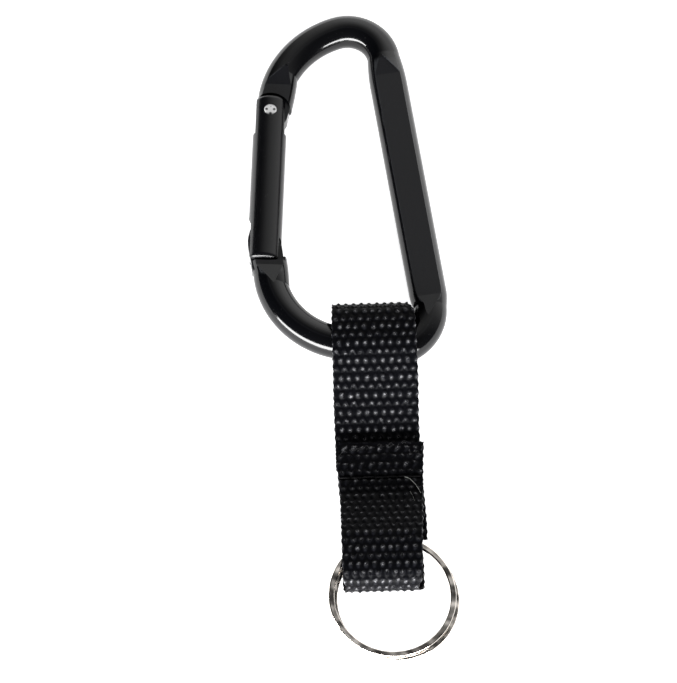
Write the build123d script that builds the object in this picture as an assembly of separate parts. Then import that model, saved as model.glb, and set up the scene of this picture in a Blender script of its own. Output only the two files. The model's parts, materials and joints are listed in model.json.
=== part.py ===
"""Carabiner keyring: an aluminium snap carabiner, a stitched webbing strap and a split ring.

Everything lies on the plane z = 0 as the object rests on a table. X runs across it, from the
gate to the spine, and +Y runs up it, from the split ring to the carabiner's top. The carabiner is
drawn flat beside its gate's axis, and then laid down with its top end on the table and its lower
bar raised by the strap that goes round it.
"""
import math
import os

from build123d import *

# Carabiner bar, millimetres, in a flat drawing whose Y axis is the gate's axis
BAR_R = 4.0
PRESSED_R = 4.6            # the bar's side radius where a press has spread the spine
END_SPREAD_R = 4.45        # the same beside the gate
FLARE_SINK = 0.15          # how far under the bar's surface a flare starts
SPINE_HALF = 3.42          # half thickness between the spine's pressed flats
END_HALF = 2.95            # half thickness between the flats beside the gate
HINGE_BEND = ((23.3, 0.7), 22.7)
NOSE_BEND = ((21.9, -42.0), 20.5)
SPINE_LEAN = 11.4          # degrees from the gate's line
SPINE_OFFSET = 29.6        # from the drawing's origin to the spine's centreline
TOP_BEND_R = 9.0
LOW_BEND_R = 10.6
LOW_BEND_STATION = -58.2   # the lower bend's centre, measured along the spine
SPINE_FLAT = (3.7, -57.2)      # the spine's flat ends, measured along the spine
SPINE_RAMP = 5.4
HIGH_RAMP_SHIFT = -0.9     # the upper ramp's tip is off the middle, towards the gate
LOW_RAMP_SHIFT = -1.1      # the lower ramp's tip follows the bend
HINGE_FLAT_Y = 5.8
NOSE_FLAT_Y = -43.3
END_RAMP = 5.2
HINGE_RAMP_SHIFT = 2.4
NOSE_RAMP_SHIFT = 1.3

# Gate, hinge and spring
GATE_R = 4.1
GATE_TOP = 2.5
GATE_END = -41.7
END_GAP = 0.45             # between the gate's lower end and the bar
SLOT_HALF = 2.1
SLOT_TOP_END = -7.3
SLOT_LOW_END = (-29.8, -36.0)   # left and right ends of the slanted slot
TONGUE_HALF = 1.9
PIN_Y = -1.7
PIN_R = 1.55
PIN_RUN = 0.05             # radial running clearance in the tongue
CAM_R = 3.4
CAM_RISE = 1.6             # millimetres of plunger travel per radian of gate swing
EAR_SWEEP = 5.05           # radius round the pin that the gate's ears sweep as they turn
BORE_R = 1.95
BORE_END = -25.4
PLUNGER_R = 1.85
PLUNGER_FOOT = -13.0
TIP_GAP = 0.35
SPRING_R = 1.4
WIRE_R = 0.25
SPRING_TURNS = 9

# Webbing strap, millimetres, u along the strap from the bar's centre towards the ring
STRAP_W = 20.2
STRAP_T = 1.2
STRAP_LEAN = 3.9           # degrees from the gate's line
STRAP_AXIS = (27.4, -61.8)
BAR_LOOP_HALF = 5.0        # inside half height of the loop round the bar
LAYER = 1.3                # one layer and the hair of air above it
FOLD_END = -10.0
RING_FOLD_END = 64.0
RING_LOOP_TOP = 8.9
BACK_END = 49.4
FRONT_END = 25.0
STITCH_U = 34.0
STITCH_PITCH = 2.8
STITCHES = 7
THREAD_R = 0.28
STRAP_CLEAR_X = 35.2       # the loop's edge beside the spine

# Split ring
RING_R = 14.5              # centreline radius
RING_W = 1.4
RING_TURN_T = 1.1
RING_TURN_GAP = 0.1
RING_SHIFT = (0.8, -0.5)   # the lower turn sits a little to one side
RING_CENTRE = (34.0, -126.55)
RING_PIVOT = (12.4, 109.0) # the swing line inside the strap, radius and degrees round the ring
RING_PIVOT_Z = 4.2
RING_LEAN = 3.0            # degrees, gate side up
RING_TILT = 3.0            # degrees, strap side up
RING_END_AT = 34.0         # degrees round the ring where the lower turn ends
RING_STEP_AT = 95.0        # degrees round the ring where one turn steps down to the other
RING_STEP = 32.0

# How the carabiner lies on the table
TOP_Y = 27.0
LOW_Z = STRAP_T + BAR_LOOP_HALF
LIE = math.degrees(math.asin((LOW_Z - BAR_R) / (TOP_Y - STRAP_AXIS[1])))
CARABINER = Location((0, TOP_Y, BAR_R), (-LIE, 0, 0)) * Location((0, -TOP_Y, 0))
STRAP = Location((*STRAP_AXIS, 0), (0, 0, -90 + STRAP_LEAN))


def polar(centre, radius, angle):
    """The point at an angle in degrees on a circle."""
    turn = math.radians(angle)
    return (centre[0] + radius * math.cos(turn), centre[1] + radius * math.sin(turn))


def along_spine(across, station):
    """A point given across and along the spine's line."""
    lean = math.radians(SPINE_LEAN)
    return (across * math.cos(lean) - station * math.sin(lean),
            across * math.sin(lean) + station * math.cos(lean))


def top_bend_centre():
    """The centre of the top bend, tangent to the hinge bend and to the spine."""
    (cx, cy), big = HINGE_BEND
    lean = math.radians(SPINE_LEAN)
    across = cx * math.cos(lean) + cy * math.sin(lean)
    station = -cx * math.sin(lean) + cy * math.cos(lean)
    beside = SPINE_OFFSET - TOP_BEND_R
    reach = math.sqrt((big - TOP_BEND_R) ** 2 - (across - beside) ** 2)
    return along_spine(beside, station + reach)


def bar_line():
    """The bar's centreline, from the hinge round the top, the spine and the bottom to the nose."""
    top = top_bend_centre()
    low = along_spine(SPINE_OFFSET - LOW_BEND_R, LOW_BEND_STATION)
    hinge, hinge_r = HINGE_BEND
    nose, nose_r = NOSE_BEND
    turn_1 = math.degrees(math.atan2(top[1] - hinge[1], top[0] - hinge[0]))
    gap = math.hypot(low[0] - nose[0], low[1] - nose[1])
    turn_2 = math.degrees(math.atan2(low[1] - nose[1], low[0] - nose[0])
                          - math.acos((nose_r - LOW_BEND_R) / gap))
    return Wire([
        CenterArc(hinge, hinge_r, 180, turn_1 - 180),
        CenterArc(top, TOP_BEND_R, turn_1, SPINE_LEAN - turn_1),
        Line(polar(top, TOP_BEND_R, SPINE_LEAN), polar(low, LOW_BEND_R, SPINE_LEAN)),
        CenterArc(low, LOW_BEND_R, SPINE_LEAN, turn_2 - SPINE_LEAN),
        Line(polar(low, LOW_BEND_R, turn_2), polar(nose, nose_r, turn_2)),
        CenterArc(nose, nose_r, turn_2, -180 - turn_2),
    ])


def round_bar(path, radius=BAR_R):
    """A round bar swept along a path."""
    start = Plane(origin=path @ 0, z_dir=path % 0)
    return sweep(start * Circle(radius), path=path)


def flare(wide, narrow, radius):
    """A round solid between two points of the drawing that swells smoothly to a radius."""
    run = (wide[0] - narrow[0], wide[1] - narrow[1])
    length = math.hypot(*run)
    inside = BAR_R - FLARE_SINK
    profile = [
        Line((0, 0), (inside, 0)),
        Spline((inside, 0), (radius, length), tangents=((0.15, 1), (0, 1))),
        Line((radius, length), (0, length)),
        Line((0, length), (0, 0)),
    ]
    turn = math.degrees(math.atan2(run[1], run[0])) - 90
    return Location((*narrow, 0), (0, 0, turn)) * revolve(make_face(profile), axis=Axis.Y)


def spread_spine():
    """The wider stretch of the spine, with a flare at each end down to the round bar."""
    high, low = SPINE_FLAT
    ends = [along_spine(SPINE_OFFSET, station) for station in (high + 7, high - 2, low + 2, low - 3)]
    length = math.dist(ends[1], ends[2])
    middle = ((ends[1][0] + ends[2][0]) / 2, (ends[1][1] + ends[2][1]) / 2, 0)
    even = Location(middle, (0, 0, SPINE_LEAN)) * Location((0, 0, 0), (90, 0, 0))
    solid = even * Cylinder(PRESSED_R, length)
    return solid + flare(ends[1], ends[0], PRESSED_R) + flare(ends[2], ends[3], PRESSED_R)


def press_cut(half, run, ramp, wide, shift):
    """Both press wedges about the origin: a flat of length run up to y = 0, then a ramp.

    The ramp narrows from the flat's width to a tip on the bar's crown, shift to one side.
    """
    deep = BAR_R + 1.5
    flat = Location((0, -run / 2, (half + deep) / 2)) * Box(14, run, deep - half)
    slope = Polyline((0, half), (ramp, BAR_R), (ramp, deep), (0, deep), close=True)
    plan = Polyline((-wide, 0), (wide, 0), (shift + 0.15, ramp), (shift - 0.15, ramp), close=True)
    tip = extrude(Plane.YZ * make_face(slope), amount=14, both=True)
    tip = tip & extrude(make_face(plan), amount=deep)
    upper = flat + tip
    return upper + mirror(upper, about=Plane.XY)


def spine_press():
    """The wedges that press the spine flat."""
    high, low = SPINE_FLAT
    middle = (high + low) / 2
    wide = math.sqrt(PRESSED_R ** 2 - SPINE_HALF ** 2)
    run = (high - low) / 2 + 0.1
    upper = press_cut(SPINE_HALF, run, SPINE_RAMP, wide, HIGH_RAMP_SHIFT)
    lower = mirror(press_cut(SPINE_HALF, run, SPINE_RAMP, wide, LOW_RAMP_SHIFT), about=Plane.XZ)
    reach = (high - low) / 2
    wedges = Location((0, reach, 0)) * upper + Location((0, -reach, 0)) * lower
    return Location((*along_spine(SPINE_OFFSET, middle), 0), (0, 0, SPINE_LEAN)) * wedges


def end_press(x, y_flat, up, shift):
    """The wedges that press one of the two ends beside the gate, up or down from a line."""
    wedges = press_cut(END_HALF, 12, END_RAMP, 3.45, shift)
    if not up:
        wedges = mirror(wedges, about=Plane.XZ)
    return Location((x, y_flat, 0)) * wedges


def cam_point(angle):
    """A point of the tongue's end: it stands further out as the gate swings open."""
    turn = math.radians(angle)
    reach = CAM_R + CAM_RISE * max(0.0, turn)
    return (reach * math.sin(turn), PIN_Y - reach * math.cos(turn))


def tongue():
    """The flat tongue in the gate's upper slot, with the cam that the spring plunger rides on."""
    outline = [
        Line((-1.9, 6.0), (-3.25, 1.0)),
        Line((-3.25, 1.0), cam_point(-66)),
        Spline(*[cam_point(angle) for angle in (-66, -44, -22, 0)]),
        Spline(*[cam_point(angle) for angle in (0, 14, 28, 42)]),
        Line(cam_point(42), (4.05, -3.3)),
        Spline((4.05, -3.3), (4.95, 1.6), (5.5, 6.0)),
        Line((5.5, 6.0), (-1.9, 6.0)),
    ]
    return extrude(make_face(outline), amount=TONGUE_HALF, both=True)


def nose():
    """The flat nose in the gate's lower slot, wider than the bar on the outer side."""
    outline = [
        Line((5.4, -44.3), (4.15, -37.3)),
        ThreePointArc((4.15, -37.3), (3.8, -36.55), (3.0, -36.05)),
        Line((3.0, -36.05), (-2.1, -33.15)),
        ThreePointArc((-2.1, -33.15), (-3.2, -33.3), (-3.75, -34.4)),
        Spline((-3.75, -34.4), (-4.0, -37.8), (-3.2, -41.6), (-2.7, -44.3)),
        Line((-2.7, -44.3), (5.4, -44.3)),
    ]
    return extrude(make_face(outline), amount=TONGUE_HALF, both=True)


def at_pin(shape):
    """A shape drawn about the hinge pin, moved to the pin's place."""
    return Location((0, PIN_Y, 0)) * shape


def ear_pocket(radius):
    """The space on both sides of the tongue or the nose, out to a radius round the hinge pin."""
    wide = 2 * radius + 2
    return at_pin(Cylinder(radius, 20) - Box(wide, wide, 2 * TONGUE_HALF))


def carabiner_body():
    """The bent bar with its pressed flats, hinge tongue and nose."""
    bar = round_bar(bar_line())
    bar += spread_spine()
    bar += flare((0.75, 0.5), (2.5, HINGE_FLAT_Y + 4.6), END_SPREAD_R)
    bar += flare((1.2, GATE_END + 0.3), (2.75, NOSE_FLAT_Y - 5.2), END_SPREAD_R)
    bar -= spine_press()
    bar -= end_press(1.2, HINGE_FLAT_Y, True, HINGE_RAMP_SHIFT)
    bar -= end_press(1.45, NOSE_FLAT_Y, False, NOSE_RAMP_SHIFT)
    bar -= ear_pocket(EAR_SWEEP)
    beside_nose = Location((0, GATE_END + 3.7, 0)) * Box(4 * BAR_R, 12, 5 * BAR_R)
    bar -= ear_pocket(PIN_Y - GATE_END + END_GAP) & beside_nose
    bar += tongue()
    bar += nose()
    return bar - at_pin(Cylinder(PIN_R + PIN_RUN, 20))


def gate_body():
    """The gate: a round bar with a slot at each end, a spring bore and rounded ends."""
    length = GATE_TOP - GATE_END
    bar = Location((0, GATE_TOP - length / 2, 0), (90, 0, 0)) * Cylinder(GATE_R, length)
    bar = fillet(bar.edges().filter_by(GeomType.CIRCLE), 1.1)
    top_slot = Box(12, 12, 2 * SLOT_HALF)
    bar -= Location((0, SLOT_TOP_END + 6, 0)) * top_slot
    left, right = SLOT_LOW_END
    low_outline = Polyline((-6, left + 1.4), (6, right - 1.4), (6, -46), (-6, -46), close=True)
    bar -= extrude(make_face(low_outline), amount=SLOT_HALF, both=True)
    bar -= at_pin(Cylinder(PIN_R, 20))
    depth = SLOT_TOP_END - BORE_END
    return bar - Location((0, SLOT_TOP_END - depth / 2, 0), (90, 0, 0)) * Cylinder(BORE_R, depth)


def hinge_rivet():
    """The hinge rivet through both ears, with a low dome at each end."""
    shank = Cylinder(PIN_R, 2 * (GATE_R - 0.15))
    ends = shank.edges().filter_by(GeomType.CIRCLE)
    return at_pin(fillet(ends, 0.3))


def spring_plunger():
    """The plunger that the spring pushes against the tongue's cam."""
    tip = PIN_Y - CAM_R - TIP_GAP
    length = tip - PLUNGER_FOOT
    pin = Location((0, PLUNGER_FOOT + length / 2, 0), (90, 0, 0)) * Cylinder(PLUNGER_R, length)
    crown = pin.edges().filter_by(GeomType.CIRCLE).sort_by(Axis.Y)[-1]
    return fillet(crown, 1.2)


def gate_spring():
    """The coil spring in the gate's bore."""
    length = PLUNGER_FOOT - BORE_END - 2 * WIRE_R - 0.1
    coil = Helix(length / SPRING_TURNS, length, SPRING_R)
    start = Plane(origin=coil @ 0, z_dir=coil % 0)
    wire = sweep(start * Circle(WIRE_R), path=coil, is_frenet=True)
    return Location((0, PLUNGER_FOOT - WIRE_R - 0.05, 0), (90, 0, 0)) * wire


def strap_line():
    """The strap's centreline: up the back, over the bar, down, and back up round the ring."""
    back = STRAP_T / 2
    bar_top = 2 * BAR_LOOP_HALF + 3 * STRAP_T / 2
    middle = back + LAYER
    front = middle + LAYER
    fold = FOLD_END + STRAP_T / 2
    ring_fold = RING_FOLD_END - STRAP_T / 2
    corners = [
        ((BACK_END, back), None),
        ((fold, back), BAR_LOOP_HALF + STRAP_T / 2 - 0.02),
        ((fold, bar_top), BAR_LOOP_HALF + STRAP_T / 2 - 0.02),
        ((3.0, bar_top), 9.0),
        ((22.5, middle), 12.0),
        ((50.7, middle), 5.0),
        ((54.0, back), 5.0),
        ((ring_fold, back), (RING_LOOP_TOP - back) / 2 - 0.02),
        ((ring_fold, RING_LOOP_TOP), (RING_LOOP_TOP - back) / 2 - 0.02),
        ((50.5, RING_LOOP_TOP), 8.0),
        ((38.5, front), 9.0),
        ((FRONT_END, front), None),
    ]
    points = [point for point, radius in corners]
    radii = [radius for point, radius in corners if radius]
    return Plane.XZ * FilletPolyline(*points, radius=radii)


def stitching():
    """One row of lock stitch across the strap, through all three layers."""
    top = STRAP_T + 2 * LAYER
    low = THREAD_R + 0.1
    run = Location((0, 0, 0), (90, 0, 0)) * Cylinder(THREAD_R, STITCHES * STITCH_PITCH + 0.5)
    thread = Location((STITCH_U, 0, low)) * run + Location((STITCH_U, 0, top)) * run
    for index in range(STITCHES + 1):
        across = (index - STITCHES / 2) * STITCH_PITCH
        leg = Cylinder(THREAD_R - 0.05, top - low)
        thread += Location((STITCH_U, across, (top + low) / 2)) * leg
    return STRAP * thread


def webbing_strap(thread):
    """The strap, one length of webbing folded in an S and stitched once through all layers."""
    path = strap_line()
    start = Plane(origin=path @ 0, x_dir=(0, 1, 0), z_dir=path % 0)
    ribbon = STRAP * sweep(start * Rectangle(STRAP_W, STRAP_T), path=path)
    beside_spine = Polyline((STRAP_CLEAR_X, 0), (60, 0), (60, -74), (STRAP_CLEAR_X + 4, -74),
                            (STRAP_CLEAR_X, -70), close=True)
    ribbon -= extrude(make_face(beside_spine), amount=30, both=True)
    return ribbon - thread


def ring_section(angle, level, share):
    """The wire's section at an angle round the ring, share of the way to the lower turn."""
    shift = Vector(RING_SHIFT[0] * share, RING_SHIFT[1] * share, level)
    turn = math.radians(angle)
    outwards = Vector(math.cos(turn), math.sin(turn), 0)
    plane = Plane(origin=shift + outwards * RING_R, x_dir=outwards,
                  z_dir=Vector(-math.sin(turn), math.cos(turn), 0))
    return plane * RectangleRounded(RING_W, RING_TURN_T, 0.3)


def ring_turn(start, size, level, share):
    """One flat turn of the ring, with square ends."""
    shift = Vector(RING_SHIFT[0] * share, RING_SHIFT[1] * share, level)
    face = ring_section(start, level, share)
    return revolve(face, axis=Axis(shift, (0, 0, 1)), revolution_arc=size)


def split_ring():
    """The split ring: two turns of flat wire that step from one level to the other."""
    half = (RING_TURN_T + RING_TURN_GAP) / 2
    steps = 6
    sections = []
    for index in range(steps + 1):
        share = index / steps
        ease = share * share * (3 - 2 * share)
        sections.append(ring_section(RING_STEP_AT + RING_STEP * share, half - 2 * half * ease, ease))
    step = loft(sections)
    upper_size = 360 - RING_STEP - 6
    upper = ring_turn(RING_STEP_AT - upper_size, upper_size, half, 0)
    lower_size = 360 + RING_END_AT - RING_STEP_AT - RING_STEP
    lower = ring_turn(RING_STEP_AT + RING_STEP, lower_size, -half, 1)
    ring = upper + step + lower
    x, y = polar((0, 0), *RING_PIVOT)
    lie = Location((RING_CENTRE[0] + x, RING_CENTRE[1] + y, RING_PIVOT_Z), (RING_TILT, RING_LEAN, 0))
    return lie * Location((-x, -y, 0)) * ring


def build():
    """Every node, by name, in the drawing's own place."""
    thread = stitching()
    flat = {
        "carabiner_body": carabiner_body(),
        "gate": gate_body(),
        "hinge_rivet": hinge_rivet(),
        "spring_plunger": spring_plunger(),
        "gate_spring": gate_spring(),
    }
    nodes = {name: CARABINER * shape for name, shape in flat.items()}
    nodes["webbing_strap"] = webbing_strap(thread)
    nodes["strap_stitching"] = thread
    nodes["split_ring"] = split_ring()
    return nodes


def main():
    """Write every node with the origin under the middle of the whole object."""
    nodes = build()
    box = Compound(children=[Part() + shape for shape in nodes.values()]).bounding_box()
    middle = box.center()
    move = Location((-middle.X, -middle.Y, -box.min.Z))
    print("moved by", tuple(round(value, 3) for value in move.position))
    os.makedirs("parts", exist_ok=True)
    for name, shape in nodes.items():
        export_step(move * shape, f"parts/{name}.step")


main()
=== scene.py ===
"""Carabiner keyring: finishes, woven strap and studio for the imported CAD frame. Metres, +Z up."""
import json
import math

import bmesh
import bpy
import numpy as np
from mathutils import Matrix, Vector


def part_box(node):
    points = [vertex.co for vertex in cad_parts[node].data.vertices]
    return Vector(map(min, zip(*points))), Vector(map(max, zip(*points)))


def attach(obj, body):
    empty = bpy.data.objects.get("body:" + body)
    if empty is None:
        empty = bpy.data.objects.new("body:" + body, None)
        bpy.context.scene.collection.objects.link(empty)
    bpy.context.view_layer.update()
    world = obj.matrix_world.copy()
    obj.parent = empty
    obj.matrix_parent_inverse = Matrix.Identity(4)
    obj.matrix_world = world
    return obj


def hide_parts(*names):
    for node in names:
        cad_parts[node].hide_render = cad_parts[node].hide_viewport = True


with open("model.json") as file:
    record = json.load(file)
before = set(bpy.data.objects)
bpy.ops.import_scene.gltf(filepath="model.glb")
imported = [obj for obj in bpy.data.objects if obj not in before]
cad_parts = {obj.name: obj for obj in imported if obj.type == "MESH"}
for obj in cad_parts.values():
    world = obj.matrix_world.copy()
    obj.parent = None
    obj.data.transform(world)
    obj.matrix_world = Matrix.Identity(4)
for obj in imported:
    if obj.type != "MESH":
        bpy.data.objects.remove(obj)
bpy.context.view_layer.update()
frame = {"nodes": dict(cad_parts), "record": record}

MM = 0.001
JOINTS = {joint["name"]: joint for joint in frame["record"]["behaviour"]["joints"]}

# Camera
ELEVATION = math.radians(66)
AZIMUTH = math.radians(2.1)
DISTANCE = 1.6
LENS = 353.1
AIM = Vector((-0.0041, -0.0034, 0.0047))      # from under the middle of the keyring

# How the carabiner lies: its own up direction, its bar and half its thickness at the pressed spine
LIE_UP = Vector(JOINTS["gate_hinge"]["axis"])
SPINE_HALF = 3.42 * MM
BAR_R = 4.0 * MM

# Webbing, millimetres, in the strap's own frame: u down the strap, v to the right, z up
STRAP_HALF = 10.0
STRAP_T = 1.2
RIM = 0.42                 # how far the rounding at the selvedge reaches in
ROW = 2.08                 # one row of the weave along the strap
COLUMN = 2.0               # one column across it
YARN_RISE = 0.50           # how far the floats stand over the bottom of the weave
FLOAT_REACH = 1.04         # half the length of a float of yarn
FLOAT_HALF = 0.62          # half its width
LEG_HALF = 0.33            # half the width of a chevron's leg
SAMPLES_ROW = 8            # mesh points to a row
SAMPLES_COLUMN = 10        # mesh points to a column
ROUTE_STEP = 0.05          # spacing of the route's points before they are evened out

# The strap's route: three layers lie on each other between the bar and the ring
BACK_Z = STRAP_T / 2
LAYER = 1.3                # one layer and the hair of air above it
MIDDLE_Z = BACK_Z + LAYER
FRONT_Z = MIDDLE_Z + LAYER
FRONT_TOP = FRONT_Z + STRAP_T / 2
BAR_TOP_Z = 11.8           # over the bar
BAR_FOLD_U = -9.4          # behind the bar
BAR_BEND = 5.58            # radius of the two corners there
RING_TOP_Z = 8.9           # over the ring
RING_FOLD_U = 63.4         # past the ring
RING_BEND = 4.13           # radius of the two corners there
BACK_END = 49.4            # where the back layer is cut
FRONT_END = 25.0           # where the front layer is cut
FRONT_RUN = 44.0           # from the front layer's cut end to the ring
PAINTED_GLINT_RUN = 46.0           # from that end to where its brighter painted glints stop
STRAP_ROUTE = [            # (u, z) corners of the strap's centreline and the radius at each
    (BACK_END, BACK_Z, 0), (BAR_FOLD_U, BACK_Z, BAR_BEND), (BAR_FOLD_U, BAR_TOP_Z, BAR_BEND),
    (3.0, BAR_TOP_Z, 9.0), (22.5, MIDDLE_Z, 12.0), (50.7, MIDDLE_Z, 5.0), (54.0, BACK_Z, 5.0),
    (RING_FOLD_U, BACK_Z, RING_BEND), (RING_FOLD_U, RING_TOP_Z, RING_BEND),
    (50.5, RING_TOP_Z, 8.0), (38.5, FRONT_Z, 9.0), (FRONT_END, FRONT_Z, 0),
]
STRAP_LAYERS = ("along", "across", "crest", "fuzz", "painted_glint")     # what the webbing's finish reads

# The rivet's dents: how far right and up from its head's middle, and the size of each, millimetres
RIVET_DENTS = ((-0.92, 0.05, 0.30), (0.92, 0.05, 0.30), (0.05, -1.12, 0.34), (0.1, 0.8, 0.12))

# Stitching, millimetres, in the strap's frame
STITCH_U = 34.0
STITCH_PITCH = 2.8
STITCHES = 7
SEAM_SHIFT = 0.35          # the seam's middle, right of the strap's
THREAD_R = 0.216


# ------------------------------------------------------------------ node helpers

def material(name, **settings):
    """A new Principled material: its nodes, links and shader."""
    made = bpy.data.materials.new(name)
    made.use_nodes = True
    tree = made.node_tree
    shader = tree.nodes["Principled BSDF"]
    for socket, value in settings.items():
        shader.inputs[socket.replace("_", " ")].default_value = value
    return made, tree, shader


def node(tree, kind, **settings):
    """A node of a kind, with sockets set by name and attributes set by lower-case name."""
    made = tree.nodes.new(kind)
    for key, value in settings.items():
        if hasattr(made, key):
            setattr(made, key, value)
        else:
            made.inputs[key.replace("_", " ")].default_value = value
    return made


def math_node(tree, operation, first, second=None, third=None):
    """A math node fed by sockets or numbers; the result's socket."""
    made = tree.nodes.new("ShaderNodeMath")
    made.operation = operation
    for index, value in enumerate((first, second, third)):
        if value is None:
            continue
        if isinstance(value, (int, float)):
            made.inputs[index].default_value = value
        else:
            tree.links.new(value, made.inputs[index])
    return made.outputs[0]


def ramp(tree, value, low, high, out_low=0.0, out_high=1.0):
    """A smooth step of value from low to high."""
    made = node(tree, "ShaderNodeMapRange", interpolation_type="SMOOTHSTEP")
    tree.links.new(value, made.inputs["Value"])
    limits = {"From Min": low, "From Max": high, "To Min": out_low, "To Max": out_high}
    for socket, number in limits.items():
        made.inputs[socket].default_value = number
    return made.outputs["Result"]


def noise(tree, vector, scale, detail=3.0):
    """Noise at a scale, from a vector socket."""
    made = node(tree, "ShaderNodeTexNoise", Scale=scale, Detail=detail, Roughness=0.55)
    tree.links.new(vector, made.inputs["Vector"])
    return made.outputs["Fac"]


def mix_colour(tree, factor, first, second):
    """A blend of two colours by a socket."""
    made = node(tree, "ShaderNodeMix", data_type="RGBA")
    tree.links.new(factor, made.inputs["Factor"])
    for slot_index, value in ((6, first), (7, second)):
        if isinstance(value, tuple):
            made.inputs[slot_index].default_value = (*value, 1)
        else:
            tree.links.new(value, made.inputs[slot_index])
    return made.outputs[2]


def bump(tree, shader, height, strength, distance):
    """A bump from a height socket into the shader's normal."""
    made = node(tree, "ShaderNodeBump", Strength=strength, Distance=distance)
    tree.links.new(height, made.inputs["Height"])
    tree.links.new(made.outputs["Normal"], shader.inputs["Normal"])


def stretched(tree, vector, scale):
    """A vector socket scaled by axis."""
    made = node(tree, "ShaderNodeMapping")
    made.inputs["Scale"].default_value = scale
    tree.links.new(vector, made.inputs["Vector"])
    return made.outputs["Vector"]


def dot_with(tree, vector, direction):
    """The dot product of a vector socket and a fixed direction."""
    made = node(tree, "ShaderNodeVectorMath", operation="DOT_PRODUCT")
    tree.links.new(vector, made.inputs[0])
    made.inputs[1].default_value = direction
    return made.outputs["Value"]


def object_coordinates(tree):
    """The piece's own coordinates, which are the row frame's at rest."""
    return node(tree, "ShaderNodeTexCoord").outputs["Object"]


# ------------------------------------------------------------------ finishes

def pressed_shares(tree, place):
    """From 0 to 1, whether a place is on a pressed flat, and on the spread edge beside one, where a
    highlight is painted.
    """
    normal = node(tree, "ShaderNodeNewGeometry").outputs["Normal"]
    facing = math_node(tree, "ABSOLUTE", dot_with(tree, normal, LIE_UP))
    middle = Vector(JOINTS["gate_hinge"]["pos_m"]).dot(LIE_UP)
    above = math_node(tree, "SUBTRACT", dot_with(tree, place, LIE_UP), middle)
    height = math_node(tree, "ABSOLUTE", above)
    flat = ramp(tree, facing, 0.968, 0.976)
    low = ramp(tree, height, 0.99 * BAR_R, 0.965 * BAR_R)
    # the press spreads the bar's side, so there its height is more than a round bar's would be
    spread_side = ramp(tree, math_node(tree, "DIVIDE", height, facing), 1.04 * BAR_R, 1.09 * BAR_R)
    rim = ramp(tree, height, SPINE_HALF - 0.20 * MM, SPINE_HALF - 0.03 * MM)
    return math_node(tree, "MULTIPLY", flat, low), math_node(tree, "MULTIPLY", spread_side, rim)


def black_anodised(name, gate=False):
    """Black anodised aluminium: glossy on the round bar, satin and a little lighter where pressed, with a
    painted highlight along the edge beside each flat.
    """
    made, tree, shader = material(name, Specular_IOR_Level=0.5, IOR=1.5)
    place = object_coordinates(tree)
    grain = noise(tree, place, 9000.0, 2.0)
    cloud = noise(tree, place, 160.0, 4.0)
    if gate:
        satin = math_node(tree, "MULTIPLY", cloud, 0.35)
    else:
        satin, painted_edge_highlight = pressed_shares(tree, place)
    colour = mix_colour(tree, satin, (0.0016, 0.0017, 0.0022), (0.0060, 0.0062, 0.0078))
    if not gate:
        # painted highlight: a lighter line along the spread edge beside each flat
        colour = mix_colour(tree, math_node(tree, "MULTIPLY", painted_edge_highlight, 0.5), colour, (0.05, 0.052, 0.056))
    dust = ramp(tree, noise(tree, place, 2300.0, 1.0), 0.735, 0.80)
    dusty = mix_colour(tree, math_node(tree, "MULTIPLY", dust, 0.10), colour, (0.25, 0.25, 0.25))
    tree.links.new(dusty, shader.inputs["Base Color"])
    smooth = math_node(tree, "MULTIPLY_ADD", cloud, 0.06, 0.17 if gate else 0.09)
    dull = math_node(tree, "MULTIPLY_ADD", grain, 0.10, 0.24)
    spread = math_node(tree, "SUBTRACT", dull, smooth)
    tree.links.new(math_node(tree, "MULTIPLY_ADD", satin, spread, smooth), shader.inputs["Roughness"])
    relief = math_node(tree, "MULTIPLY", grain, math_node(tree, "MULTIPLY_ADD", satin, 0.8, 0.12))
    streaks = noise(tree, stretched(tree, place, (900.0, 120.0, 900.0)), 1.0, 1.0)
    scratch = ramp(tree, streaks, 0.76, 0.80)
    scored = math_node(tree, "SUBTRACT", relief, math_node(tree, "MULTIPLY", scratch, 0.5))
    bump(tree, shader, scored, 0.35, 0.02 * MM)
    return made


def steel(name, tint, roughness, scratch_scale, wobble=0.0):
    """Bright metal with fine rub marks, and as much slow wobble in its surface as asked."""
    made, tree, shader = material(name, Metallic=1.0)
    place = object_coordinates(tree)
    cloud = noise(tree, place, 420.0, 4.0)
    marks = noise(tree, stretched(tree, place, scratch_scale), 1.0, 3.0)
    shade = tuple(0.80 * channel for channel in tint)
    tree.links.new(mix_colour(tree, cloud, shade, tint), shader.inputs["Base Color"])
    rough = math_node(tree, "MULTIPLY_ADD", marks, 0.10, roughness)
    tree.links.new(rough, shader.inputs["Roughness"])
    waves = noise(tree, place, 210.0, 1.0)
    relief = math_node(tree, "MULTIPLY_ADD", waves, wobble, math_node(tree, "MULTIPLY", marks, 0.01))
    bump(tree, shader, relief, 1.0, 1.0 * MM)
    return made


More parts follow.
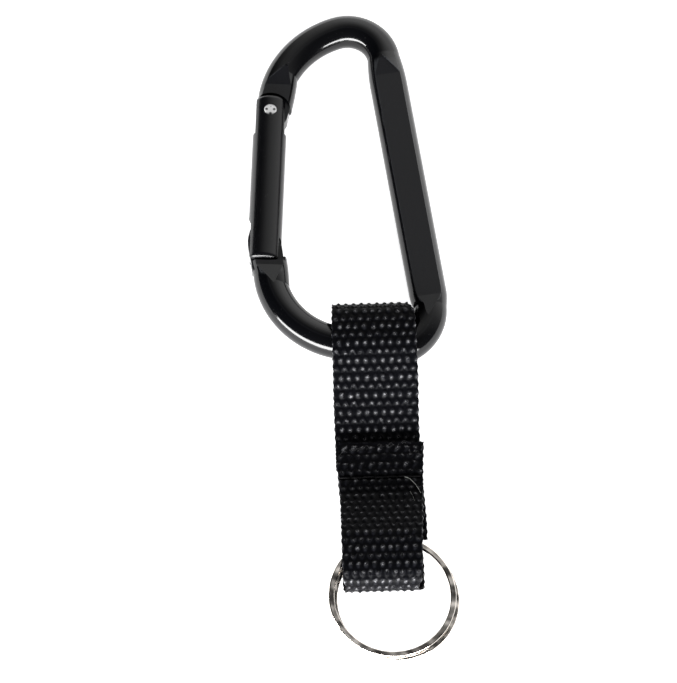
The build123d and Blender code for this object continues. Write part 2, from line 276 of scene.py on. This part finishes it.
def rivet_finish():
    """The rivet's bright head, with the dents that the setting tool left in it, which are painted dark as
    painted shade.
    """
    made, tree, shader = material("rivet_finish", Metallic=0.4)
    place = object_coordinates(tree)
    low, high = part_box("hinge_rivet")
    head = Vector(((low[0] + high[0]) / 2, JOINTS["gate_hinge"]["pos_m"][1] + 0.1 * MM, high[2]))
    cloud = noise(tree, place, 1500.0, 4.0)
    dents_and_shade = None
    for right, up, size in RIVET_DENTS:
        spot = node(tree, "ShaderNodeVectorMath", operation="DISTANCE")
        tree.links.new(place, spot.inputs[0])
        spot.inputs[1].default_value = head + Vector((right * MM, up * MM, 0))
        dent_and_shade = ramp(tree, spot.outputs["Value"], size * 1.5 * MM, size * 0.6 * MM)
        dents_and_shade = dent_and_shade if dents_and_shade is None else math_node(tree, "MAXIMUM", dents_and_shade, dent_and_shade)
    bright = mix_colour(tree, cloud, (0.80, 0.80, 0.80), (0.96, 0.96, 0.96))
    # painted shade: the dents are painted nearly black on the bright head
    tree.links.new(mix_colour(tree, dents_and_shade, bright, (0.05, 0.05, 0.052)), shader.inputs["Base Color"])
    rough = math_node(tree, "MULTIPLY_ADD", cloud, 0.25, 0.32)
    tree.links.new(rough, shader.inputs["Roughness"])
    bump(tree, shader, math_node(tree, "SUBTRACT", cloud, dents_and_shade), 0.6, 0.06 * MM)
    return made


def webbing_finish():
    """Black polypropylene yarn: fibres along the strap, painted glints and painted light on the floats,
    and dull hollows painted darker as painted shade.
    """
    made, tree, shader = material("webbing_yarn", Specular_IOR_Level=0.05)
    link = tree.links.new
    along, across, crest, fuzz, painted_glint = (
        node(tree, "ShaderNodeAttribute", attribute_name=layer).outputs["Fac"] for layer in STRAP_LAYERS
    )
    fibre_place = node(tree, "ShaderNodeCombineXYZ")
    link(math_node(tree, "MULTIPLY", along, 1.1), fibre_place.inputs["X"])
    link(math_node(tree, "MULTIPLY", across, 11.0), fibre_place.inputs["Y"])
    fibres = noise(tree, fibre_place.outputs["Vector"], 1.0, 3.0)
    place = object_coordinates(tree)
    cloud = noise(tree, place, 700.0, 3.0)
    sparkle = noise(tree, place, 2600.0, 2.0)
    stray = ramp(tree, noise(tree, place, 1900.0, 2.0), 0.64, 0.72)
    # painted shade and light: the hollows between the floats are painted darker than the crests, and the
    # fibres on the crests lighter still
    dark = mix_colour(tree, crest, (0.0024, 0.0025, 0.0034), (0.0075, 0.0078, 0.0100))
    crest_painted_light = mix_colour(tree, math_node(tree, "MULTIPLY", fibres, crest), dark, (0.0150, 0.0155, 0.0185))
    strays = math_node(tree, "MULTIPLY", stray, math_node(tree, "MULTIPLY_ADD", fuzz, 0.35, 0.12))
    dull = mix_colour(tree, strays, crest_painted_light, (0.022, 0.022, 0.024))
    # painted glints: light grey spots painted on the floats, broken up by noise
    painted_glint_share = math_node(tree, "MULTIPLY", painted_glint, ramp(tree, sparkle, 0.36, 0.62))
    link(mix_colour(tree, painted_glint_share, dull, (0.34, 0.34, 0.355)), shader.inputs["Base Color"])
    gloss = math_node(tree, "MULTIPLY_ADD", cloud, 0.14, 0.15)
    dulled = math_node(tree, "MULTIPLY_ADD", fuzz, 0.06, gloss)
    hollow = math_node(tree, "MULTIPLY_ADD", math_node(tree, "SUBTRACT", 1.0, crest), 0.14, dulled)
    link(hollow, shader.inputs["Roughness"])
    bump(tree, shader, math_node(tree, "MULTIPLY_ADD", sparkle, 3.0, fibres), 1.0, 0.017 * MM)
    return made


def thread_finish(name, dark, light):
    """Twisted sewing thread."""
    made, tree, shader = material(name, Specular_IOR_Level=0.12)
    place = object_coordinates(tree)
    twist = node(tree, "ShaderNodeTexWave", Scale=1500.0, Distortion=1.5, bands_direction="DIAGONAL")
    tree.links.new(place, twist.inputs["Vector"])
    tree.links.new(mix_colour(tree, twist.outputs["Fac"], dark, light), shader.inputs["Base Color"])
    rough = math_node(tree, "MULTIPLY_ADD", noise(tree, place, 3000.0), 0.3, 0.45)
    tree.links.new(rough, shader.inputs["Roughness"])
    bump(tree, shader, twist.outputs["Fac"], 0.5, 0.05 * MM)
    return made


def finish_node(name, finish):
    """Give a carried-over CAD node its finish."""
    mesh = frame["nodes"][name].data
    if not mesh.materials:
        mesh.materials.append(finish)
    for index in range(len(mesh.materials)):
        mesh.materials[index] = finish


# ------------------------------------------------------------------ the strap's frame and route

STRAP_JOINT = JOINTS["strap_swing"]
STRAP_RIGHT = Vector(STRAP_JOINT["axis"]).normalized()
STRAP_DOWN = Vector((STRAP_RIGHT.y, -STRAP_RIGHT.x, 0))
STRAP_PIVOT_U = 1.0        # millimetres down the strap from its frame's origin to the joint
STRAP_ORIGIN = Vector((*STRAP_JOINT["pos_m"][:2], 0)) - STRAP_DOWN * STRAP_PIVOT_U * MM


def strap_points(u, v, z):
    """Row-frame points, in metres, of places in the strap's frame in millimetres."""
    down, right = np.array(STRAP_DOWN), np.array(STRAP_RIGHT)
    flat = np.outer(u, down) + np.outer(v, right)
    flat[:, 2] += z
    return np.array(STRAP_ORIGIN) + flat * MM


def run_points(start, end):
    """Closely spaced points from start up to end, without end itself."""
    count = max(2, round(np.linalg.norm(end - start) / ROUTE_STEP))
    return [start + (end - start) * share for share in np.arange(count) / count]


def arc_points(start, end, centre, radius, turn):
    """Closely spaced points along an arc from start up to end, without end itself."""
    first, last = start - centre, end - centre
    count = max(2, round(radius * turn / ROUTE_STEP))
    points = []
    for share in np.arange(count) / count:
        a, b = math.sin((1 - share) * turn), math.sin(share * turn)
        points.append(centre + (first * a + last * b) / math.sin(turn))
    return points


def rounded_route(corners, step):
    """Points, directions and stations at even steps along straight runs joined by tangent arcs."""
    points = []
    here, end = np.array(corners[0][:2]), np.array(corners[-1][:2])
    for before, corner, after in zip(corners, corners[1:], corners[2:]):
        point, radius = np.array(corner[:2]), corner[2]
        to_last = np.array(before[:2]) - point
        to_next = np.array(after[:2]) - point
        to_last, to_next = to_last / np.linalg.norm(to_last), to_next / np.linalg.norm(to_next)
        half = math.acos(np.clip(to_last @ to_next, -1, 1)) / 2
        reach = radius / math.tan(half)
        enter, leave = point + to_last * reach, point + to_next * reach
        bisector = (to_last + to_next) / np.linalg.norm(to_last + to_next)
        centre = point + bisector * radius / math.sin(half)
        points += run_points(here, enter)
        points += arc_points(enter, leave, centre, radius, math.pi - 2 * half)
        here = leave
    points = np.array(points + run_points(here, end) + [end])
    lengths = np.linalg.norm(np.diff(points, axis=0), axis=1)
    stations = np.concatenate([[0], np.cumsum(lengths)])
    even = np.linspace(0, stations[-1], round(stations[-1] / step) + 1)
    line = np.stack([np.interp(even, stations, points[:, axis]) for axis in (0, 1)], axis=1)
    direction = np.gradient(line, axis=0)
    direction /= np.linalg.norm(direction, axis=1)[:, None]
    return line, direction, even


def smooth_bump(x, centre, width):
    """A bell of height one."""
    return np.exp(-((x - centre) / width) ** 2)


def smooth_step(x, start, end):
    """Nought up to start, one past end, smooth between; start may be the higher of the two."""
    share = np.clip((x - start) / (end - start), 0, 1)
    return share * share * (3 - 2 * share)


# ------------------------------------------------------------------ the woven strap

def ripple(*phases):
    """Slow uneven waves between -1 and 1, the same on every run."""
    total = 0
    for index, phase in enumerate(phases):
        total = total + np.sin(phase * (1.0 + 0.61 * index) + 1.7 * index)
    return total / len(phases)


def weave_row(rows, across, index):
    """One row of the weave, floats on even rows and chevrons on odd ones: its height and where glints are
    painted.
    """
    odd = np.mod(index, 2)
    y = (rows - index) * ROW
    column = across / COLUMN - odd / 2
    place = np.round(column)
    x = (column - place) * COLUMN
    # no two floats lie quite alike
    stray = ripple(index * 2.3 + place * 1.7, place * 3.1 + index)
    uneven = ripple(place * 2.9 + index * 4.3, index * 1.9 - place * 5.3)
    leg_side = (np.abs(x) - 0.50 * (y + 0.80)) / LEG_HALF
    float_side = (x - 0.14 * stray + 0.15 * stray * y) / FLOAT_HALF
    beside = np.where(odd < 0.5, float_side, leg_side)
    ahead = (y - 0.10 * uneven) / FLOAT_REACH
    crown = np.clip(1 - ahead ** 2, 0, 1) * np.clip(1 - beside ** 2, 0, 1)
    # the spot near each float's tip where a glint is painted
    tip = np.exp(-((x - 0.25 * stray) / 0.32) ** 2 - ((y - 0.25 + 0.3 * uneven) / 0.26) ** 2)
    return (0.86 + 0.14 * uneven - 0.26 * odd) * crown, tip * (0.66 + 0.34 * stray) * (1 - 0.35 * odd)


def weave(along, across):
    """The weave's height, from 0 to 1, and its painted glints."""
    rows = along / ROW
    nearest = np.round(rows)
    height = 0.10 + 0.06 * np.cos(2 * math.pi * rows)      # the weft between the rows
    painted_glint = np.zeros_like(along)
    for shift in (-1, 0, 1):
        row_height, row_painted_glint = weave_row(rows, across, nearest + shift)
        height = np.maximum(height, row_height)
        painted_glint = np.maximum(painted_glint, row_painted_glint)
    return height, painted_glint


def strap_edges(line, station):
    """Left and right edges, in millimetres from the strap's middle, at each section."""
    u, z = line[:, 0], line[:, 1]
    front = station > station[-1] - FRONT_RUN
    middle = (~front) & (station > 70)
    left = np.full_like(u, -10.15)
    right = np.full_like(u, 10.15)
    # the back layer is skewed to the right, so that its end shows past the front layer
    skew = 0.95 * smooth_step(u, 20, 49) * (station < 60)
    left += skew
    right += skew
    # the middle layer shows at the left above the stitches and at the right near the ring
    left += 0.75 * smooth_step(u, 31.2, 32.6) * middle
    right += (0.25 * smooth_step(u, 52, 57) - 0.35 * smooth_step(u, 30, 36)) * middle
    # the front layer starts further right and comes back to the middle at the ring
    share = np.clip((63 - u) / 38, 0, 1) * front
    left += (0.05 + 0.60 * smooth_step(u, 31.4, 33.2)) * front
    right += (-0.85 + 1.75 * share) * front
    # the edges pull in where the strap folds
    bar_fold, ring_fold = station[np.argmin(u)], station[np.argmax(u)]
    left += 0.25 * smooth_bump(station, bar_fold, 5.0) + 0.75 * smooth_bump(station, ring_fold, 2.4)
    right -= 0.9 * smooth_bump(station, ring_fold, 2.4)
    # beside the spine the right edge gives way to the bar
    beside = np.clip(1 - ((z - 6.0) / 5.6) ** 2, 0, 1) * (u < -2)
    right -= 0.55 * smooth_bump(station, bar_fold, 9.0) + 1.75 * beside
    return left, right


def across_samples():
    """Places across the strap from -1 to 1, closer together at its rounded rims."""
    count = int(2 * STRAP_HALF / COLUMN * SAMPLES_COLUMN)
    rim = RIM / STRAP_HALF
    extra = [-1 + 0.25 * rim, -1 + 0.7 * rim, 1 - 0.7 * rim, 1 - 0.25 * rim]
    return np.sort(np.concatenate([np.linspace(-1, 1, count + 1), extra]))


def rim_profile(t):
    """The share of the full thickness at each place across, which falls to nothing at both rims."""
    rim = RIM / STRAP_HALF
    into_rim = np.clip((np.abs(t) - (1 - rim)) / rim, 0, 1)
    return np.sqrt(np.clip(1 - into_rim ** 2, 0, 1))[None, :]


def strap_v(line, station, t, along, across):
    """Where each point lies across the strap, in millimetres."""
    left, right = strap_edges(line, station)
    # the selvedge is scalloped, one scallop to a row
    scallop = 0.10 * np.cos(2 * math.pi * station / ROW)
    left, right = (left - scallop)[:, None], (right + scallop)[:, None]
    return left + (t[None, :] + 1) / 2 * (right - left) + 0.10 * ripple(along * 0.31, across * 0.4)


def there_and_back(right_face, left_face):
    """Values across the right face, then back across the left face without the edges they share."""
    return np.concatenate([right_face, left_face[:, -2:0:-1]], axis=1)


def stitch_v(index):
    """Where a needle hole of the seam lies across the strap, in millimetres."""
    return SEAM_SHIFT + (index - STITCHES / 2) * STITCH_PITCH


def strap_faces(along, across, from_end, v, profile):
    """Each face's height over the strap's centreline, and the values that the finish reads.

    The route's right face is the front layer's top, and its left face is the top of the slope that
    comes down from the bar.
    """
    front_u = FRONT_END + from_end
    front = (from_end < PAINTED_GLINT_RUN).astype(float)
    seam = smooth_bump(front_u, STITCH_U, 0.75) * front
    # the weave is disturbed between the cut end and the seam
    disturbed = smooth_step(from_end, 12.5, 10.0)
    stir = 0.45 * ripple(along * 2.1 + across * 0.7, across * 1.9, along * 1.3)
    top, painted_glint = weave(along + disturbed * stir, across + disturbed * 0.8 * stir)
    under, under_painted_glint = weave(along + ROW, across + 0.15)
    soften = 1 - 0.15 * disturbed
    base = STRAP_T / 2 - YARN_RISE
    swell = 0.10 * smooth_step(from_end, 0.7, 0.0)
    swell += 0.06 * disturbed * ripple(across * 2.7, along * 3.1)
    yarn = YARN_RISE * (top * soften + (1 - soften) * 0.55)
    right_face = (base + yarn + swell - 0.42 * seam) * profile
    left_face = (base + YARN_RISE * under) * profile
    for index in range(STITCHES + 1):
        away = np.hypot(front_u - STITCH_U, v - stitch_v(index))
        right_face -= 0.22 * smooth_bump(away, 0, 0.38) * front * profile
    crest = np.clip((top * soften - 0.25) / 0.5, 0, 1) * (1 - 0.8 * seam)
    under_crest = np.clip((under - 0.35) / 0.5, 0, 1)
    looks = (
        there_and_back(along, along),
        there_and_back(across, across),
        there_and_back(crest, under_crest),
        there_and_back(disturbed, np.zeros_like(disturbed)),
        # the painted glints, brighter on the front layer and none on the seam
        there_and_back(painted_glint * (1 - seam) * (1 + 0.5 * front), under_painted_glint),
    )
    return right_face, left_face, looks


def ribbon_faces(sections, across_count, loop):
    """The faces round a closed ribbon of equal loops, with a cap at each end."""
    faces = []
    for section in range(sections - 1):
        low, high = section * loop, (section + 1) * loop
        faces += [(low + k, low + (k + 1) % loop, high + (k + 1) % loop, high + k) for k in range(loop)]
    for offset, flip in ((0, False), ((sections - 1) * loop, True)):
        for k in range(across_count - 1):
            near, far = offset + k, offset + k + 1
            below_near = offset + (loop - k) % loop
            below_far = offset + loop - k - 1 if k + 1 < across_count - 1 else far
            corners = [near, below_near, below_far, far]
            corners = [corner for place, corner in enumerate(corners) if corner not in corners[:place]]
            if len(corners) > 2:
                faces.append(tuple(reversed(corners)) if flip else tuple(corners))
    return faces


def woven_strap():
    """The strap as one closed woven ribbon along its route."""
    line, direction, station = rounded_route(STRAP_ROUTE, ROW / SAMPLES_ROW)
    t = across_samples()
    along = np.repeat(station[:, None], len(t), axis=1)
    across = np.repeat(t[None, :] * STRAP_HALF, len(station), axis=0)
    from_end = station[-1] - along
    v = strap_v(line, station, t, along, across)
    right_face, left_face, looks = strap_faces(along, across, from_end, v, rim_profile(t))
    # the cut end is uneven
    ragged = 0.30 * ripple(across * 1.5, across * 0.63, across * 3.9)
    push = smooth_step(from_end, 2.5, 0.0) * (ragged - 0.02 * across)
    run_u, run_z = direction[:, 0][:, None], direction[:, 1][:, None]
    u = line[:, 0][:, None] + run_u * push
    z = line[:, 1][:, None] + run_z * push
    loop_u = there_and_back(u + run_z * right_face, u - run_z * left_face)
    loop_v = there_and_back(v, v)
    loop_z = there_and_back(z - run_u * right_face, z + run_u * left_face)
    # the webbing stays on the table
    points = strap_points(loop_u.ravel(), loop_v.ravel(), np.maximum(loop_z.ravel(), 0.0))
    mesh = bpy.data.meshes.new("woven_strap")
    mesh.from_pydata(points.tolist(), [], ribbon_faces(len(station), len(t), loop_u.shape[1]))
    for name, grid in zip(STRAP_LAYERS, looks):
        layer = mesh.attributes.new(name, "FLOAT", "POINT")
        layer.data.foreach_set("value", grid.ravel().astype(np.float32))
    return place_piece("woven_strap", mesh, webbing_finish())


def place_piece(name, mesh, finish):
    """A new object from a mesh, with outward normals, its finish and smooth faces."""
    made = bpy.data.objects.new(name, mesh)
    bpy.context.scene.collection.objects.link(made)
    work = bmesh.new()
    work.from_mesh(mesh)
    bmesh.ops.recalc_face_normals(work, faces=work.faces)
    work.to_mesh(mesh)
    work.free()
    mesh.materials.append(finish)
    mesh.polygons.foreach_set("use_smooth", [True] * len(mesh.polygons))
    mesh.update()
    return made


# ------------------------------------------------------------------ sewing thread

def tube(path, radius, sides=10):
    """Vertices and faces of a closed round tube along points, with tapering rounded ends."""
    path = np.array(path, float)
    direction = np.gradient(path, axis=0)
    direction /= np.linalg.norm(direction, axis=1)[:, None]
    verts, faces = [], []
    side = np.cross(direction[0], (0.3, 0.2, 1.0))
    for index, (point, along) in enumerate(zip(path, direction)):
        side = side - along * (side @ along)
        side /= np.linalg.norm(side)
        up = np.cross(along, side)
        end = min(index, len(path) - 1 - index)
        size = radius * (0.55, 0.9, 1.0)[min(end, 2)]
        for k in range(sides):
            turn = 2 * math.pi * k / sides
            verts.append(point + size * (math.cos(turn) * side + math.sin(turn) * up))
    for low in range(0, (len(path) - 1) * sides, sides):
        for k in range(sides):
            beside = low + (k + 1) % sides
            faces.append((low + k, beside, beside + sides, low + k + sides))
    faces.append(tuple(reversed(range(sides))))
    faces.append(tuple(range((len(path) - 1) * sides, len(path) * sides)))
    return verts, faces


def join_tubes(name, tubes, finish):
    """One piece of several tubes."""
    verts, faces = [], []
    for tube_verts, tube_faces in tubes:
        start = len(verts)
        verts += [tuple(point) for point in tube_verts]
        faces += [tuple(start + corner for corner in face) for face in tube_faces]
    mesh = bpy.data.meshes.new(name)
    mesh.from_pydata(verts, [], faces)
    return place_piece(name, mesh, finish)


def lock_stitch():
    """The row of stitches: a short arched run from each needle hole to the next, on both faces."""
    tubes = []
    share = np.linspace(0, 1, 13)
    arch = np.sin(math.pi * share) ** 0.6
    for index in range(STITCHES):
        across = stitch_v(index) + share * STITCH_PITCH
        wander = 0.12 * math.sin(2.4 * index) * np.sin(math.pi * share)
        # the upper run arches out of the front layer, and the lower one out of the back layer
        for foot, rise in ((FRONT_TOP - 0.80, 0.34), (0.60, -0.42)):
            route = strap_points(STITCH_U + wander + 0.10 * (share - 0.5), across, foot + rise * arch)
            tubes.append(tube(route, THREAD_R * MM))
    finish = thread_finish("stitch_thread", (0.0008, 0.0008, 0.0010), (0.0045, 0.0045, 0.0052))
    return join_tubes("lock_stitch", tubes, finish)


def thread_route(corners, count):
    """Points on a smooth curve through corners in the strap's frame, count of them to a stretch."""
    corners = np.array(corners, float)
    padded = np.vstack([2 * corners[0] - corners[1], corners, 2 * corners[-1] - corners[-2]])
    points = []
    for p0, p1, p2, p3 in zip(padded, padded[1:], padded[2:], padded[3:]):
        slope, bend, twist = p2 - p0, 2 * p0 - 5 * p1 + 4 * p2 - p3, 3 * p1 - p0 - 3 * p2 + p3
        for share in np.arange(count) / count:
            points.append(0.5 * (2 * p1 + slope * share + bend * share ** 2 + twist * share ** 3))
    points.append(corners[-1])
    points = np.array(points)
    return strap_points(points[:, 0], points[:, 1], points[:, 2])


def thread_tails():
    """The loose ends of the sewing thread, lying on the front layer at the right."""
    z = FRONT_TOP + 0.12
    # each tail's radius and the corners of its route, millimetres
    tails = [
        (0.085, [(34.3, 6.2, z - 0.1), (35.0, 7.4, z + 0.15), (37.0, 9.0, z + 0.2), (38.8, 9.9, z + 0.1)]),
        (0.075, [(40.6, 8.2, z + 0.5), (42.6, 8.9, z + 0.9), (44.6, 9.7, z + 1.5), (46.4, 10.1, z + 1.9)]),
        (0.060, [(38.2, 7.3, z + 0.1), (39.4, 7.9, z + 0.25), (40.6, 8.2, z + 0.5)]),
    ]
    tubes = []
    for radius, corners in tails:
        tubes.append(tube(thread_route(corners, 8), radius * MM, 8))
    finish = thread_finish("loose_thread", (0.10, 0.105, 0.10), (0.34, 0.35, 0.33))
    return join_tubes("thread_tails", tubes, finish)


def frayed_fibres():
    """Short stray fibres round the front layer's melted end."""
    tubes = []
    z = FRONT_TOP + 0.02
    for index in range(26):
        across = -9.2 + 20.0 * ((index * 0.618) % 1.0)
        start_u = FRONT_END + 0.4 + 2.6 * ((index * 0.371) % 1.0)
        turn = math.sin(index * 2.1)
        length = 1.1 + 0.7 * math.cos(index * 1.3)
        corners = [
            (start_u, across, z - 0.12),
            (start_u - 0.30 * length, across + 0.45 * length * turn, z + 0.06),
            (start_u - 0.25 * length * turn, across + length * turn, z - 0.02),
        ]
        tubes.append(tube(thread_route(corners, 5), 0.035 * MM, 6))
    finish = thread_finish("stray_fibre", (0.015, 0.015, 0.016), (0.07, 0.07, 0.072))
    return join_tubes("frayed_fibres", tubes, finish)


# ------------------------------------------------------------------ studio

def floor():
    """A plain pale floor that glows evenly, like a light table."""
    mesh = bpy.data.meshes.new("floor")
    reach = 6.0            # metres from the middle to each side
    corners = [(-reach, -reach, 0), (reach, -reach, 0), (reach, reach, 0), (-reach, reach, 0)]
    mesh.from_pydata(corners, [], [(0, 1, 2, 3)])
    made = bpy.data.objects.new("floor", mesh)
    bpy.context.scene.collection.objects.link(made)
    finish, _, shader = material("floor_paper", Roughness=0.95, Specular_IOR_Level=0.1)
    shader.inputs["Base Color"].default_value = (0.86, 0.86, 0.87, 1)
    shader.inputs["Emission Color"].default_value = (1, 1, 1, 1)
    shader.inputs["Emission Strength"].default_value = 0.90
    mesh.materials.append(finish)


def softbox(name, direction, elevation, distance, size, radiance):
    """A rectangular light that faces the keyring from a compass direction and a height."""
    turn, rise = math.radians(direction), math.radians(elevation)
    data = bpy.data.lights.new(name, "AREA")
    data.shape = "RECTANGLE"
    data.size, data.size_y = size
    data.energy = radiance * math.pi * size[0] * size[1]
    made = bpy.data.objects.new(name, data)
    bpy.context.scene.collection.objects.link(made)
    flat = math.cos(rise)
    made.location = Vector((math.cos(turn) * flat, math.sin(turn) * flat, math.sin(rise))) * distance
    made.rotation_euler = (-made.location).to_track_quat("-Z", "Y").to_euler()


def sky():
    """Soft surroundings: dark overhead, at the left and at the ring's end, bright at the far side."""
    world = bpy.data.worlds.new("studio")
    bpy.context.scene.world = world
    world.use_nodes = True
    tree = world.node_tree
    place = node(tree, "ShaderNodeTexCoord").outputs["Generated"]
    forward = math_node(tree, "MAXIMUM", dot_with(tree, place, (0.30, 0.954, 0)), 0.0)
    glow = math_node(tree, "MULTIPLY_ADD", math_node(tree, "MULTIPLY", forward, forward), 1.9, 0.05)
    split = node(tree, "ShaderNodeSeparateXYZ")
    tree.links.new(place, split.inputs[0])
    side = ramp(tree, split.outputs["X"], -0.85, 0.15, 0.05, 1.0)
    strength = math_node(tree, "MULTIPLY", math_node(tree, "MINIMUM", glow, 1.3), side)
    background = tree.nodes["Background"]
    tree.links.new(strength, background.inputs["Strength"])
    background.inputs["Color"].default_value = (1, 1, 1, 1)


def camera():
    """The camera, looking down on the keyring from its ring end."""
    data = bpy.data.cameras.new("camera")
    data.lens = LENS
    data.sensor_fit = "HORIZONTAL"
    data.sensor_width = 36.0
    made = bpy.data.objects.new("camera", data)
    bpy.context.scene.collection.objects.link(made)
    flat = math.cos(ELEVATION)
    back = Vector((math.sin(AZIMUTH) * flat, -math.cos(AZIMUTH) * flat, math.sin(ELEVATION)))
    made.location = AIM + back * DISTANCE
    made.rotation_euler = back.to_track_quat("Z", "Y").to_euler()
    bpy.context.scene.camera = made
    bpy.context.scene.view_settings.view_transform = "Standard"


# ------------------------------------------------------------------ the scene

camera()
floor()
sky()
softbox("front_strip", direction=-100, elevation=11, distance=1.3, size=(4.4, 0.46), radiance=24.0)

finish_node("carabiner_body", black_anodised("anodised_bar"))
finish_node("gate", black_anodised("anodised_gate", gate=True))
finish_node("hinge_rivet", rivet_finish())
finish_node("split_ring", steel("nickel", (0.95, 0.89, 0.82), 0.03, (300.0, 300.0, 2600.0), 1.2))
for name in ("gate_spring", "spring_plunger"):
    finish_node(name, steel(name + "_steel", (0.62, 0.61, 0.59), 0.22, (2000.0, 300.0, 2000.0)))

strap = woven_strap()
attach(strap, "strap")
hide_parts("webbing_strap")
stitches = lock_stitch()
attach(stitches, "strap")
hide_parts("strap_stitching")
for extra in (thread_tails(), frayed_fibres()):
    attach(extra, "strap")
